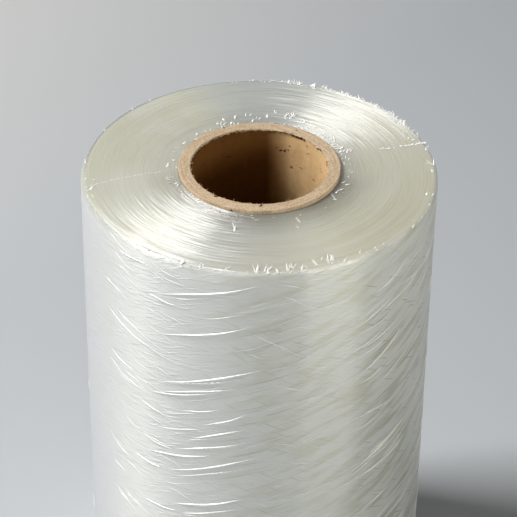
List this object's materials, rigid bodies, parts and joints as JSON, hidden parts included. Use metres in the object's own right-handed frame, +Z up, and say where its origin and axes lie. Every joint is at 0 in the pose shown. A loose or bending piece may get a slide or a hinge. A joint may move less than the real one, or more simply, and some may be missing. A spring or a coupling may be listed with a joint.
{
  "type": "stretch wrap roll",
  "caption": "Machine roll of clear cling film wound on a round paper core, standing on one end, for wrapping loaded pallets.",
  "frame": {"origin": "on the roll's axis, at the lower end of the core, on which the roll stands", "axes": "+Z up along the roll's axis; the pictured side faces -Y; +X to the right of the picture"},
  "size_m": [0.1991, 0.1994, 0.307],
  "materials": {
    "core_board": "matte, raw cut edge",
    "wound_film": "glossy, clear film that looks milky grey when wound"
  },
  "bodies": {
    "root": {"core": "core_board", "film": "wound_film"}
  },
  "joints": []
}
